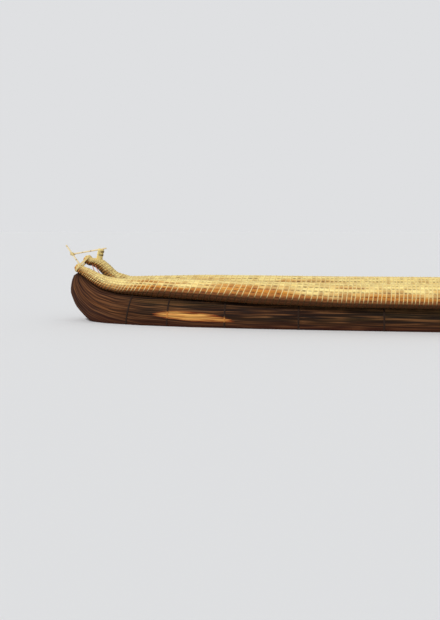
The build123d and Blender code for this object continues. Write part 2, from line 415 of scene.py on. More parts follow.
# %% [markdown]
# Between two turns the stems swell out in ribs, each a small bunch, and the turns pinch them. All
# this stays inside the solid's surface, so the roll keeps its measured size.

# %% Lay the ribbed skin over each roll
ROWS_A_TURN = 4
ROLL_GROOVE = 0.014  # depth of the groove between two ribs
GROOVE_SHUT = 0.35  # the share of it that is left where a rope turn closes it
ROLL_PINCH = 0.003  # depth of the dent that a rope turn makes
RIB_UNEVEN = 0.0016
GROOVE_UNEVEN = (0.25, 1.15)  # the least and the most that a groove is worn open


def rows_between(places, rows, length):
    """Rows from end to end, so many a stretch, and each one's share of its stretch."""
    marks = np.concatenate(([0.0], places, [length]))
    steps = np.arange(rows) / rows
    along = (marks[:-1, None] + np.diff(marks)[:, None] * steps).ravel()
    share = np.tile(steps, len(marks) - 1)
    return np.append(along, length), np.append(share, 0.0)


def by_cell(low, high, turn_count):
    """A random value for each rib between two turns, at all their points."""
    cells = rng.uniform(low, high, (turn_count + 1, ROLL_RIBS)).repeat(STEMS_A_RIB, axis=1)
    return np.vstack((cells.repeat(ROWS_A_TURN, axis=0), cells[-1:]))


for name, roll in rolls.items():
    along, share = rows_between(turns[name], ROWS_A_TURN, roll.length)
    rows = leaning(roll, along)
    swell = np.sin(np.pi * share)[:, None]
    gap = 1 - np.tile(RIB_SHAPE, ROLL_RIBS)
    uneven = np.repeat(rng.normal(0, RIB_UNEVEN, (len(along), ROLL_RIBS)), STEMS_A_RIB, axis=1)
    worn = by_cell(*GROOVE_UNEVEN, len(turns[name]))
    worn = (worn + np.roll(worn, STEMS_A_RIB // 2, axis=1)) / 2
    lift = uneven * swell - ROLL_PINCH * (1 - swell)
    lift -= ROLL_GROOVE * gap * (GROOVE_SHUT + (1 - GROOVE_SHUT) * swell * worn)
    points = roll.skin(rows, np.minimum(lift, 0))
    ripe = from_table(RIPE, roll.middle(along)[:, 0]) - SUNNY_SIDE[name]
    make_piece(f"reed_roll_{name}", points, [f"gunwale_roll_{name}"], "golden_reed",
               lay=lay_of(rows, np.linspace(0, roll.girth, roll.count), len(name)),
               groove=gap * swell * worn, tint=by_cell(0.0, 1.0, len(turns[name])),
               ripe=np.repeat(ripe, roll.count), rise=rise(roll, along, points),
               stain=stain(roll, along, points))

# %% [markdown]
# The main bundles are the hull. Their finish needs marks too: the stretch to port that is rubbed
# bare, the shade under the rolls, the dry floor between them and the streaks along the stems.

# %% Mark the hull's weather and painted shade
BARE_AFT = (3.57, 0.128)  # along the boat and up: the ends of the bare stretch's line
BARE_FORE = (5.13, 0.210)
BARE_RISE = 0.125  # from that line up to its top
BARE_DROP = 0.060  # and down to its lower edge
BARE_BLUNT = (0.45, 0.60)  # powers that round its top's and its lower edge's ends
BARE_FADE = 0.060
BARE_BEAM = 0.5  # it lies this far out from the centre plane, or further
CREASE_REACH = 0.11  # how far from a roll the hull stays in its shade
INSIDE_FADE = 0.05  # metres over which the wet hull turns to the dry floor
INSIDE_END = (6.1, 0.3)  # metres from amidships where the rolls close over it, and its fade
INSIDE_DEPTH = 0.5  # the floor lies no deeper than this under the rolls' middles
TONE_RUN = 0.34  # metres along a streak before it changes
SUNNED_FROM = 5.2  # metres from amidships, where the turned-up ends stay dry
SUNNED_FADE = 1.0


def bare(points):
    """1 inside the bare stretch on the port side, and 0 outside it."""
    x, y, z = np.moveaxis(points, -1, 0)
    along = np.clip((x - BARE_AFT[0]) / (BARE_FORE[0] - BARE_AFT[0]), 0, 1)
    line = BARE_AFT[1] + along * (BARE_FORE[1] - BARE_AFT[1])
    top, bottom = (np.sin(np.pi * along) ** power for power in BARE_BLUNT)
    room = np.minimum(line + BARE_RISE * top - z, z - line + BARE_DROP * bottom)
    return np.where(y > BARE_BEAM, np.clip(room / BARE_FADE, 0, 1), 0.0)


def crease(points):
    """1 on the hull where it touches a roll, fading to 0 away from it."""
    nearest = np.full(points.shape[:-1], np.inf)
    for roll in rolls.values():
        for middle, rim in zip(roll.middles, roll.rims):
            size = np.linalg.norm(rim - middle, axis=1).mean()
            nearest = np.minimum(nearest, np.linalg.norm(points - middle, axis=-1) - size)
    return np.clip(1 - nearest / CREASE_REACH, 0, 1)


def inside(points):
    """1 on the dry floor between the two rolls."""
    middles = rolls["port"].middles
    middles = middles[middles[:, 0].argsort()]
    beam, level = np.moveaxis(read_along(points[..., 0], middles[:, 0], middles[:, 1:]), -1, 0)
    end, fade = INSIDE_END
    inboard = np.clip((beam - np.abs(points[..., 1])) / INSIDE_FADE, 0, 1)
    ending = np.clip((end - np.abs(points[..., 0])) / fade, 0, 1)
    return inboard * ending * (points[..., 2] > level - INSIDE_DEPTH)


def streaks(along, count):
    """Streaks of weathering along the stems, from dark at 0 to light at 1."""
    tone = rng.uniform(0, 1, (int(along[-1] / TONE_RUN) + 2, count))
    low = (along / TONE_RUN).astype(int)
    share = (along / TONE_RUN - low)[:, None]
    return tone[low] * (1 - share) + tone[low + 1] * share


print("the bare stretch is", round(BARE_FORE[0] - BARE_AFT[0], 2), "m long")

# %% [markdown]
# The hull's stems are bound much tighter than a roll's, so its ribs are shallow. The core is the
# slim bundle in the valley between the two main ones, and gets a skin of the same kind.

# %% Lay the skins of the main bundles and the core
MAIN_ROWS = 230
CORE_ROWS = 150
CORE_RIBS = 10
MAIN_GROOVE = 0.008
SWELL_RUN = 2.1  # how fast a rib swells and sinks along the boat, in radians a metre
SWELL_STEP = 2.4  # and how far each rib is ahead of the next


def hull_skin(name, bundle, row_count, node, slot):
    along = np.linspace(0, bundle.length, row_count)
    gap = 1 - np.tile(RIB_SHAPE, (row_count, bundle.ribs))
    slow = np.sin(along[:, None] * SWELL_RUN + np.arange(bundle.ribs) * SWELL_STEP)
    uneven = np.repeat(slow * RIB_UNEVEN, STEMS_A_RIB, axis=1)
    points = bundle.skin(along[:, None], np.minimum(uneven - MAIN_GROOVE * gap, 0))
    make_piece(name, points, [node], slot,
               lay=lay_of(along[:, None], np.linspace(0, bundle.girth, bundle.count), len(name)),
               groove=gap, height=points[..., 2], bare=bare(points), crease=crease(points),
               inside=inside(points), tone=streaks(along, bundle.count),
               sunned=np.clip((np.abs(points[..., 0]) - SUNNED_FROM) / SUNNED_FADE, 0, 1))


for name, bundle in mains.items():
    hull_skin(f"hull_bundle_{name}", bundle, MAIN_ROWS, f"main_bundle_{name}", "weathered_reed")

core_low, core_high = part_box("core_bundle")
core_planes = [(np.array((x, 0.0, 0.0)), np.array((1.0, 0.0, 0.0)))
               for x in np.linspace(core_low[0] + END_CUT, core_high[0] - END_CUT, PLANES_A_SIDE)]
core = Bundle("core_bundle", core_planes, CORE_RIBS, lambda *_: np.array((0.0, 0.0, -1.0)))
hull_skin("deck_bundle", core, CORE_ROWS, "core_bundle", "deck_reed")

# %% [markdown]
# All the ropes are tubes along a path. With each path go the ways out of what it lies on, so that
# the tube doesn't twist.

# %% Make ropes along paths
ROPE_SIDES = 5


def rope_piece(name, made, radius, node_names=(), slot="reed_rope", closed=True, **layers):
    """One piece of several ropes. made holds the path and the ways out of each one."""
    paths, outs = (np.array(part) for part in zip(*made))
    runs = unit(runs_round(paths, 1) if closed else np.gradient(paths, axis=1))
    across = unit(np.cross(runs, outs))
    rings = circle(ROPE_SIDES, np.cross(across, runs)[:, :, None], across[:, :, None])
    gone = np.linalg.norm(np.diff(paths, axis=1, prepend=paths[:, :1]), axis=2).cumsum(axis=1)
    number = np.arange(len(paths))[:, None, None]
    for layer, values in layers.items():
        layers[layer] = np.repeat(np.broadcast_to(values, gone.shape), ROPE_SIDES)
    make_piece(name, paths[:, :, None] + radius * rings, node_names, slot, closed,
               lay=lay_of(gone[:, :, None], turns_of(ROPE_SIDES) * radius, number), **layers)


print("a rope has", ROPE_SIDES, "sides, as it is only a pixel or so wide in most views")

# %% [markdown]
# The turns lie in the dents of a roll's skin. Each wanders a little on its way round. Towards the
# tips, where the turns crowd, their lower halves are darkened with painted shade.

# %% Wind the rope turns round the rolls
TURN_ROPE = 0.0085
TURN_SUNK = 0.0022  # how far a turn's middle lies under the roll's full size
TURN_WANDER = (0.006, 0.0036)  # metres to and fro, once and twice on the way round
SHADE_FROM, SHADE_TO = 5.7, 6.3  # metres from amidships over which painted shade comes onto the rope
SHADE_BESIDE = 0.8  # how dark the painted shade is halfway up the roll
SHADE_FALL = 1.5  # and how much less at the top, or more at the underside

for name, roll in rolls.items():
    places = turns[name]
    angle = turns_of(roll.count)
    once, twice = rng.uniform(0, 2 * math.pi, (len(places), 2)).T[:, :, None]
    wander = TURN_WANDER[0] * np.sin(angle + once) + TURN_WANDER[1] * np.sin(2 * angle + twice)
    rows = np.clip(leaning(roll, places) + wander, 0, roll.length)
    paths = roll.skin(rows, -TURN_SUNK)[:, ::2]
    outs = paths - roll.middle(places)[:, None]
    old = np.clip((np.abs(paths[..., 0]) - SHADE_FROM) / (SHADE_TO - SHADE_FROM), 0, 1)
    old *= np.clip(SHADE_BESIDE - SHADE_FALL * rise(roll, places, paths), 0, 1)
    rope_piece(f"rope_turns_{name}", zip(paths, outs), TURN_ROPE, [f"roll_rings_{name}"],
               old=old, stain=stain(roll, places, paths))

# %% [markdown]
# A roll ends in dozens of cut stems of uneven length. They are set out in a close-packed grid,
# and those that fall within the roll's last rim are kept.

# %% Cut the stems at the tips
STEM_RADIUS = 0.0055
STEM_GRID = 0.0118  # from one stem to the next
STEM_ROW = 0.87 * STEM_GRID  # and from one row of the grid to the next
GRID_STEPS = 20  # steps from the roll's middle, which reach past its rim
STEM_REACH = 0.006  # the most that a stem stands past the skin's end
STEM_DEPTH = 0.012  # how far it goes back in
STEM_SIDES = 6
STEM_SHADE = 0.8  # how dark the darkest stem's end is
UPRIGHT = 0.9  # a direction that rises more than this counts as upright


def plane_axes(normal):
    """Two directions square to a plane's normal and to each other."""
    side = unit(np.cross(normal, (0.0, 0.0, 1.0) if abs(normal[2]) < UPRIGHT else ACROSS))
    return np.stack((side, np.cross(normal, side)))


def stem_places(rim, middle, axes):
    """Places on a grid that lie within a rim, seen flat."""
    flat = (rim - middle) @ axes.T
    steps = range(-GRID_STEPS, GRID_STEPS + 1)
    grid = np.array([(STEM_GRID * (i + j % 2 / 2), STEM_ROW * j) for j in steps for i in steps])
    turn, grid_turn = (np.arctan2(places[:, 1], places[:, 0]) for places in (flat, grid))
    room = np.interp(grid_turn, turn, np.linalg.norm(flat, axis=1), period=2 * math.pi)
    return grid[np.linalg.norm(grid, axis=1) < room - STEM_RADIUS]


for name, roll in rolls.items():
    points, shade = [], []
    for station, outward in ((0, -1), (-1, 1)):
        middle, normal = roll.middles[station], ROLL_PLANES[station][1]
        axes, way = plane_axes(normal), normal * outward
        ring = STEM_RADIUS * circle(STEM_SIDES, *axes)
        for place in stem_places(roll.rims[station], middle, axes) @ axes:
            end = middle + place + way * rng.uniform(0, STEM_REACH)
            points.append((end - way * STEM_DEPTH + ring, end + ring))
            shade.append(rng.uniform(0, STEM_SHADE))
    make_piece(f"stem_ends_{name}", points, [], "golden_reed", smooth=False,
               groove=np.repeat(shade, 2 * STEM_SIDES), rise=1.0)

# %% [markdown]
# The hull's hoops are flat bands, and one solid holds all those of a side, so they are told apart
# first.

# %% Tell a solid's loose parts from each other
PLACE_DIGITS = 5  # corners whose places agree to so many digits are one corner


def loose_parts(solid):
    """The corners of each separate part of a solid."""
    corners, triangles = solid
    _, same = np.unique(np.round(corners, PLACE_DIGITS), axis=0, return_inverse=True)
    linked = same.ravel()[triangles]
    labels = np.arange(linked.max() + 1)
    before = None
    while not np.array_equal(labels, before):
        before = labels.copy()
        np.minimum.at(labels, linked.ravel(), np.repeat(labels[linked].min(axis=1), 3))
    label = labels[same.ravel()]
    return [corners[label == one] for one in np.unique(label[triangles])]


hoops = {name: loose_parts(read_solid(f"hull_hoops_{name}")) for name in mains}
print("hoops:", {name: len(parts) for name, parts in hoops.items()})

# %% [markdown]
# Each hoop becomes three ropes side by side, from the crease under the roll down to the keel line
# and back up inside. Their ends dive in between the stems.

# %% Wind the hull hoops
HOOP_ROPE = 0.005
HOOP_ROPES = 3
HOOP_PITCH = 2.1 * HOOP_ROPE  # from one rope of a hoop to the next
HOOP_LIFT = 0.6 * HOOP_ROPE  # a rope's middle lies this far off the skin
HOOP_NEAR = 0.05  # a skin point this near the solid hoop belongs to the rope's path
HOOP_POINTS = 60
HOOP_DIVE = 0.012


def side_by_side(count, pitch):
    """How far things in a row lie from the row's middle."""
    return (np.arange(count) - (count - 1) / 2) * pitch


def hoop_paths(hoop, bundle):
    """The ropes of one hoop: points on the bundle's skin, and the ways out of it."""
    outer = hoop[np.abs(hoop[:, 1]).argmax()]
    column = np.abs(bundle.rims[..., 1]).argmax(axis=1)
    widest = bundle.rims[np.arange(len(column)), column]
    place = np.interp(outer[0], widest[:, 0], bundle.stations)
    for offset in side_by_side(HOOP_ROPES, HOOP_PITCH):
        skin = bundle.skin(np.array([place + offset]), HOOP_LIFT)
        gap = np.linalg.norm(skin[:, None] - hoop[None], axis=2).min(axis=1)
        near = skin[gap < HOOP_NEAR]
        path = read_along(np.linspace(0, len(near) - 1, HOOP_POINTS), np.arange(len(near)), near)
        out = unit(path - bundle.middle(place))
        path[[0, -1]] -= HOOP_DIVE * out[[0, -1]]
        yield path, out


for name, bundle in mains.items():
    made = [rope for hoop in hoops[name] for rope in hoop_paths(hoop, bundle)]
    rope_piece(f"rope_hoops_{name}", made, HOOP_ROPE, [f"hull_hoops_{name}"], "dark_rope",
               closed=False, bare=bare(np.array([path for path, _ in made])))

# %% [markdown]
# A rope pulled tight round several things takes the shortest way round them, their convex hull.
# So a lashing needs no drawn path: a plane cuts what it binds, and the rope follows the hull.

# %% Pull ropes tight round what they bind
LASH_ROPE = 0.0055
LASH_PITCH = 2.0 * LASH_ROPE  # from one turn to the next
LASH_LIFT = 0.8 * LASH_ROPE  # a turn's middle lies this far out from what it binds
LASH_POINTS = 48
LASH_REACH = 0.35  # parts of a cut further away than this aren't bound


def convex_hull(flat):
    """The corners of the tightest outline round flat points, in order."""
    order = flat[np.lexsort((flat[:, 1], flat[:, 0]))]
    outline = []
    for points in (order, order[::-1]):
        half = []
        for point in points:
            while len(half) > 1:
                (ax, ay), (bx, by) = half[-2], half[-1]
                if (bx - ax) * (point[1] - ay) - (by - ay) * (point[0] - ax) > 0:
                    break
                half.pop()
            half.append(tuple(point))
        outline += half[:-1]
    return np.array(outline)


def tight_turn(solids, point, normal):
    """A rope's closed path round solids, and the way out of them at each point."""
    axes = plane_axes(normal)
    flat = np.vstack([cut(solid, point, normal) for solid in solids]) - point
    hull = convex_hull((flat @ axes.T)[np.linalg.norm(flat, axis=1) < LASH_REACH])
    hull = np.vstack((hull, hull[:1]))
    gone = run_lengths(hull)
    path = read_along(np.linspace(0, gone[-1], LASH_POINTS, endpoint=False), gone, hull)
    run = unit(runs_round(path, 0))
    out = np.stack((run[:, 1], -run[:, 0]), axis=1)
    return point + (path + out * LASH_LIFT) @ axes, out @ axes


def lashing(name, solids, middle, way, count, node_names=(), old=0.0):
    """Turns of rope side by side round solids, about the middle of a line."""
    way = unit(way)
    made = [tight_turn(solids, middle + way * off, way) for off in side_by_side(count, LASH_PITCH)]
    rope_piece(name, made, LASH_ROPE, node_names, old=old)


print("a lashing follows", LASH_POINTS, "points round what it binds")

# %% [markdown]
# Near each end a belt of a few turns goes round both rolls and holds them together.

# %% Belt the two rolls together at the ends
BELT_TURNS = 4

roll_solids = [read_solid(f"gunwale_roll_{name}") for name in rolls]
for end, node in ((1, "bow_binding"), (-1, "stern_binding")):
    way = np.array((math.cos(ROLL_LEAN[0]), 0, end * math.sin(ROLL_LEAN[0])))
    lashing(f"rope_belt_{node}", roll_solids, np.mean(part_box(node), axis=0), way, BELT_TURNS, [node])

# %% [markdown]
# The pole, the rail and the two sticks are rough canes. Each is drawn over its solid rod, with
# joints, where it thickens, and a slight bend.

# %% Draw canes over the solid rods
CANE_SIDES = 12
CANE_ROWS = 40
CANE_JOINT = 0.17  # from one joint to the next
CANE_JOINT_WIDE = 0.008  # how far to each side a joint fades out
CANE_SWELL = 0.0012
CANE_BEND = 0.0015
FOOT_SHARE = 0.3  # the lowest share of a rod's corners, which are at its foot
STICK_RED = 0.9  # how far the sticks are from pale to red


class Rod:
    """A rod's line and thickness, measured from the corners of its solid."""

    def __init__(self, corners):
        middle = corners.mean(axis=0)
        _, _, ways = np.linalg.svd(corners - middle, full_matrices=False)
        self.way = ways[0] * (1 if ways[0][2] > 0 else -1)
        reach = (corners - middle) @ self.way
        self.foot, self.length = middle + self.way * reach.min(), np.ptp(reach)
        far = np.linalg.norm(corners - middle - reach[:, None] * self.way, axis=1)
        low = reach < np.quantile(reach, FOOT_SHARE)
        self.foot_radius, self.top_radius = far[low].max(), far[~low].max()


def cane(name, rods, node, red=0.0):
    """Rough canes over rods, as one piece."""
    points, lay, joints = [], [], []
    for number, rod in enumerate(rods):
        side, up = plane_axes(rod.way)
        gone = np.linspace(0, rod.length, CANE_ROWS)
        joint = np.exp(-((gone % CANE_JOINT - CANE_JOINT / 2) / CANE_JOINT_WIDE) ** 2)
        radius = np.interp(gone, (0, rod.length), (rod.foot_radius, rod.top_radius))
        radius += CANE_SWELL * (joint - 1)
        bend = CANE_BEND * np.sin(gone / rod.length * math.pi * 2 + number)
        centres = rod.foot + gone[:, None] * rod.way + bend[:, None] * side
        points.append(centres[:, None] + radius[:, None, None] * circle(CANE_SIDES, side, up))
        lay.append(lay_of(gone[:, None], turns_of(CANE_SIDES) * rod.foot_radius, number + 0.5))
        joints.append(np.repeat(joint, CANE_SIDES))
    make_piece(name, points, [node], "pale_cane", lay=lay, groove=joints, red=red)


rod_solids = [read_solid(node) for node in ("bow_pole", "bow_rail", "bow_post")]
pole, rail, post = (Rod(corners) for corners, _ in rod_solids)
sticks = [Rod(corners) for corners in loose_parts(read_solid("bow_sticks"))]
cane("bow_cane", [pole], "bow_pole")
cane("rail_cane", [rail], "bow_rail")
cane("cross_sticks", sticks, "bow_sticks", STICK_RED)

# %% [markdown]
# The post is a small sheaf of reeds stood on end: one in the middle, six round it and twelve
# round those. The reeds under the rail stop short of it, and the others reach up beside it.

# %% Stand the sheaf of the bow post
SHEAF_RINGS = ((0, 1), (0.42, 6), (0.80, 12))  # share of the post's radius, reeds in the ring
SHEAF_REED = 0.0105
SHEAF_SIDES, SHEAF_ROWS = 8, 6
SHEAF_SINK = 0.03  # into the roll, past the solid's foot
POST_TOP = 0.012  # how far reeds may differ in length
REED_APART = 1.7  # how far the grain of one reed is from the next one's


def closest(foot, way, other_foot, other_way):
    """How far along each of two lines they come closest, and the gap between them there."""
    across = unit(np.cross(way, other_way))
    return np.linalg.solve(np.stack((way, -other_way, across), axis=1), other_foot - foot)


axes = plane_axes(post.way)
clearance = SHEAF_REED + rail.foot_radius
points, lay = [], []
for share, count in SHEAF_RINGS:
    for place in share * post.top_radius * circle(count, *axes, start=share):
        foot = post.foot + place - SHEAF_SINK * post.way
        rail_at, _, gap = closest(foot, post.way, rail.foot, rail.way)
        length = post.length + SHEAF_SINK + rng.uniform(-POST_TOP, 0)
        if abs(gap) <= clearance:
            length = min(length, rail_at - clearance)
        gone = np.linspace(0, length, SHEAF_ROWS)[:, None]
        points.append((foot + gone * post.way)[:, None] + SHEAF_REED * circle(SHEAF_SIDES, *axes))
        lay.append(lay_of(gone, SHEAF_REED * turns_of(SHEAF_SIDES), REED_APART * len(lay)))
make_piece("post_sheaf", points, ["bow_post"], "golden_reed", lay=lay, rise=1.0)

# %% [markdown]
# Lashings hold the sheaf together and tie the rail to the pole. Where two rods cross, the rope
# goes round both on one slant and then on the other.

# %% Lash the pole, the rail and the post
POST_LASHED = (0.10, 0.17)  # metres up the post
RAIL_TURNS, POST_TURNS = 4, 3
POST_SHADE = 0.75  # how much painted shade darkens the rope on the post

on_pole, on_rail, _ = closest(pole.foot, pole.way, rail.foot, rail.way)
crossing = (pole.foot + on_pole * pole.way + rail.foot + on_rail * rail.way) / 2
for name, sign in (("up", 1), ("down", -1)):
    way = pole.way + sign * rail.way
    lashing(f"lash_rail_{name}", rod_solids[:2], crossing, way, RAIL_TURNS)
for name, height in zip(("low", "high"), POST_LASHED):
    middle = post.foot + height * post.way
    lashing(f"lash_post_{name}", rod_solids[2:], middle, post.way, POST_TURNS, old=POST_SHADE)

# %% [markdown]
# Everything on reed is stretched along its stems: fine fibres, then whole stems, then slow patches
# where the sun or the water has changed them. All the finishes need these three, so they are made
# once, as a group, and each finish sets their scale.

# %% Build the reed grain once
PATTERNS = {  # share of the scale along and across, detail, and the noise's low and high end
    "Fibre": (1.0, 1.0, 3.0, 0.28, 0.72),
    "Stem": (0.35, 0.30, 1.0, 0.30, 0.70),
    "Patch": (0.12, 0.035, 2.0, 0.35, 0.68),
}
LAY_APART = 3.7  # how far apart the noise is for two bundles


def add(tree, kind, inputs=None, **settings):
    """A node with its settings, and its inputs set to values or linked to sockets."""
    node = tree.nodes.new(kind)
    for name, value in settings.items():
        setattr(node, name, value)
    for name, value in (inputs or {}).items():
        if isinstance(value, bpy.types.NodeSocket):
            tree.links.new(value, node.inputs[name])
        else:
            node.inputs[name].default_value = value
    return node


def reckon(tree, operation, one, other, kind="ShaderNodeMath"):
    return add(tree, kind, {0: one, 1: other}, operation=operation).outputs[0]


grain = bpy.data.node_groups.new("reed_grain", "ShaderNodeTree")
for name, kind in (("Lay", "Vector"), ("Along", "Float"), ("Across", "Float")):
    grain.interface.new_socket(name=name, in_out="INPUT", socket_type=f"NodeSocket{kind}")
start = grain.nodes.new("NodeGroupInput").outputs
end = grain.nodes.new("NodeGroupOutput").inputs
for name, (along, across, detail, low, high) in PATTERNS.items():
    grain.interface.new_socket(name=name, in_out="OUTPUT", socket_type="NodeSocketFloat")
    along = reckon(grain, "MULTIPLY", start["Along"], along)
    across = reckon(grain, "MULTIPLY", start["Across"], across)
    scale = add(grain, "ShaderNodeCombineXYZ", {"X": along, "Y": across, "Z": LAY_APART}).outputs[0]
    place = reckon(grain, "MULTIPLY", start["Lay"], scale, "ShaderNodeVectorMath")
    noise = add(grain, "ShaderNodeTexNoise", {"Vector": place, "Scale": 1.0, "Detail": detail})
    spread = {"Value": noise.outputs["Fac"], "From Min": low, "From Max": high}
    grain.links.new(add(grain, "ShaderNodeMapRange", spread).outputs["Result"], end[name])
print("the grain group gives", list(PATTERNS))

# %% [markdown]
# A finish is coats of colour, each held back by a mask: a groove between ribs gets painted shadow,
# and the stain mask follows damp and painted shade. The bump follows the fibres and stems, and a
# pale fibre is duller than a dark one.

# %% Helpers for the finishes
REED_SHINE = 0.25  # dry reed is duller than most things
MASK, UNDER, OVER, MIXED = 0, 6, 7, 2  # where a mix node takes and gives its colours

materials = {}


def paint(colour):
    """A colour as a screen shows it, from 0 to 255, in Blender's linear values."""
    shares = np.array(colour) / 255
    curved = np.where(shares > 0.04, ((shares + 0.055) / 1.055) ** 2.4, shares / 12.92)
    return (*curved.tolist(), 1.0)


class Finish:
    """A material being made: its colour so far, and the reed grain at its own scale."""

    def __init__(self, name, along, across):
        self.name, self.material = name, bpy.data.materials.new(name)
        self.material.use_nodes = True
        self.tree = self.material.node_tree
        self.lay = self.read("lay", "Vector")
        scales = {"Lay": self.lay, "Along": along, "Across": across}
        group = add(self.tree, "ShaderNodeGroup", scales, node_tree=grain)
        self.fibre, self.stem, self.patch = group.outputs

    def read(self, name, output="Fac"):
        """A value that the piece keeps for each of its points."""
        return add(self.tree, "ShaderNodeAttribute", attribute_name=name).outputs[output]

    def plus(self, one, other):
        return reckon(self.tree, "ADD", one, other)

    def times(self, one, other):
        return reckon(self.tree, "MULTIPLY", one, other)

    def ramp(self, value, low, high, to_low=0.0, to_high=1.0):
        """Spreads a value's range, and keeps it within the new one."""
        inputs = {"Value": value, "From Min": low, "From Max": high, "To Min": to_low, "To Max": to_high}
        return add(self.tree, "ShaderNodeMapRange", inputs).outputs["Result"]

    def blend(self, under, over, mask):
        """One colour over another where the mask is 1."""
        under, over = (paint(it) if isinstance(it, tuple) else it for it in (under, over))
        inputs = {MASK: mask, UNDER: under, OVER: over}
        return add(self.tree, "ShaderNodeMix", inputs, data_type="RGBA").outputs[MIXED]

    def fibres(self, dark, light):
        """A colour that goes from dark to light and back from fibre to fibre."""
        return self.blend(dark, light, self.fibre)

    def coat(self, over, mask, share=1.0):
        """Lays a colour over the present one, or a share of it."""
        self.colour = self.blend(self.colour, over, mask if share == 1 else self.times(mask, share))

    def done(self, rough_low, rough_high, bump, depth, shine=REED_SHINE):
        """Links everything to the shader. The roughness runs from low to high with the fibres."""
        bumps = {"Strength": bump, "Distance": depth, "Height": self.plus(self.fibre, self.stem)}
        shader = self.tree.nodes["Principled BSDF"].inputs
        shader["Specular IOR Level"].default_value = shine
        for name, value in (
            ("Base Color", self.colour),
            ("Roughness", self.ramp(self.fibre, 0.0, 1.0, rough_low, rough_high)),
            ("Normal", add(self.tree, "ShaderNodeBump", bumps).outputs["Normal"]),
        ):
            self.tree.links.new(value, shader[name])
        materials[self.name] = self.material
        print("made", self.name)


print("finishes are built with", grain.name)

# %% [markdown]
# Golden reed: this season's stems, cut and dried. The top is pale straw, partly bleached and partly
# a painted highlight, the side is gold, and the underside is brown, partly damp and partly painted
# shade. Between two ropes each groove shows as a short dark dash of painted shade.

# %% Golden reed for the rolls and the post
gold = Finish("golden_reed", 7.0, 180.0)
high, ripe, damp_and_shade = (gold.read(name) for name in ("rise", "ripe", "stain"))
# Gold all over, with darker stems in it.
gold.colour = gold.fibres((188, 112, 30), (234, 174, 70))
gold.coat((178, 84, 24), gold.stem, 0.60)
# Straw on top, partly bleached and partly a painted highlight, and further down where the reed
# isn't ripe.
sun = gold.plus(gold.plus(high, gold.patch), gold.ramp(ripe, -1.0, 1.0, 0.60, 0.0))
gold.coat(gold.fibres((228, 184, 92), (255, 246, 176)), gold.ramp(sun, 0.65, 1.30))
# Some bunches are browner, which shows most where they are ripe, and more beneath.
brown = gold.times(gold.ramp(gold.read("tint"), 0.45, 1.0), gold.ramp(high, 1.0, 0.3, 0.25, 0.65))
gold.coat((146, 80, 26), gold.times(brown, gold.ramp(ripe, 0.0, 1.0, 0.8, 1.0)))
# Damp and painted shade first turn the stems russet. Each groove gets a dark dash of painted
# shade. Dark brown, for damp and painted shade, comes last, over the grooves.
gold.coat(gold.fibres((116, 58, 24), (196, 128, 62)), gold.ramp(damp_and_shade, 0.0, 0.50))
dash = gold.ramp(reckon(gold.tree, "POWER", gold.read("groove"), 1.2), 0.05, 0.85)
gold.coat((84, 40, 16), gold.times(dash, gold.ramp(high, 0.95, 0.45, 0.80, 1.0)))
gold.coat(gold.fibres((46, 24, 8), (106, 60, 20)), gold.ramp(damp_and_shade, 0.45, 0.95))
gold.done(0.50, 0.80, 0.45, 0.002)

# %% [markdown]
# Weathered reed: the hull has been afloat for months. It is dark brown, with olive patches and
# long streaks. The dry floor is paler, and where the port side is rubbed bare, the stems are
# orange and gold again.

# %% Weathered reed for the main bundles
WET_SHINE = 0.10  # old and slimy, but rough, so it hardly mirrors the pale sky

hull = Finish("weathered_reed", 2.6, 75.0)
tone, rubbing = hull.read("tone"), hull.read("bare")
# Dark brown, with olive patches and blacker stems.
hull.colour = hull.fibres((20, 9, 5), (82, 48, 26))
hull.coat((64, 54, 26), hull.patch, 0.6)
hull.coat((14, 7, 8), hull.stem, 0.6)
# The ends turn up out of the wet and are lighter.
dry = hull.blend(hull.fibres((48, 22, 9), (148, 92, 48)), (46, 24, 30), hull.times(hull.patch, 0.8))
hull.coat(dry, hull.read("sunned"), 0.85)
# Long streaks, light and dark.
hull.coat((132, 88, 52), hull.ramp(tone, 0.50, 0.95, 0.0, 0.75))
hull.coat((10, 4, 4), hull.ramp(tone, 0.50, 0.05, 0.0, 0.85))
# The dry floor, the painted shade under the rolls, and a darker brown towards the waterline.
dusty = hull.fibres((96, 62, 34), (176, 134, 84))
dusty = hull.blend(dusty, (70, 44, 26), hull.ramp(tone, 0.5, 0.0, 0.0, 0.6))
hull.coat(dusty, hull.read("inside"))
hull.coat((22, 9, 7), hull.read("crease"), 0.8)
hull.coat((58, 22, 12), hull.ramp(hull.read("height"), 0.20, 0.02), 0.7)
# The bare stretch has a ragged edge, which is browner than the middle.
ragged = hull.plus(rubbing, hull.times(hull.plus(hull.fibre, tone), 0.55))
edge, golden = hull.fibres((90, 36, 14), (160, 80, 34)), hull.fibres((168, 84, 30), (246, 194, 106))
rubbed = hull.blend(edge, golden, hull.ramp(ragged, 0.75, 1.25))
rubbed = hull.blend(rubbed, (116, 50, 20), hull.ramp(tone, 0.40, 0.05, 0.0, 0.75))
hull.coat(rubbed, hull.times(hull.ramp(rubbing, 0.0, 0.1), hull.ramp(ragged, 0.50, 0.66)))
# Painted shade in the grooves between the ribs.
hull.coat((16, 8, 6), hull.read("groove"), 0.5)
hull.done(0.60, 0.90, 0.50, 0.003, WET_SHINE)

# %% [markdown]
# Deck reed is trodden and dusty, a duller and more even yellow brown than the rolls.

# %% Deck reed for the core
deck = Finish("deck_reed", 4.0, 180.0)
deck.colour = deck.fibres((128, 88, 46), (206, 168, 104))
deck.coat((104, 72, 38), deck.patch, 0.6)
# Painted shade in the grooves between the ribs.
deck.coat((60, 36, 20), deck.read("groove"), 0.6)
deck.done(0.65, 0.90, 0.50, 0.003)

# %% [markdown]
# Pale cane is smooth and a little shiny, with a brown ring at each joint. The two sticks are redder.

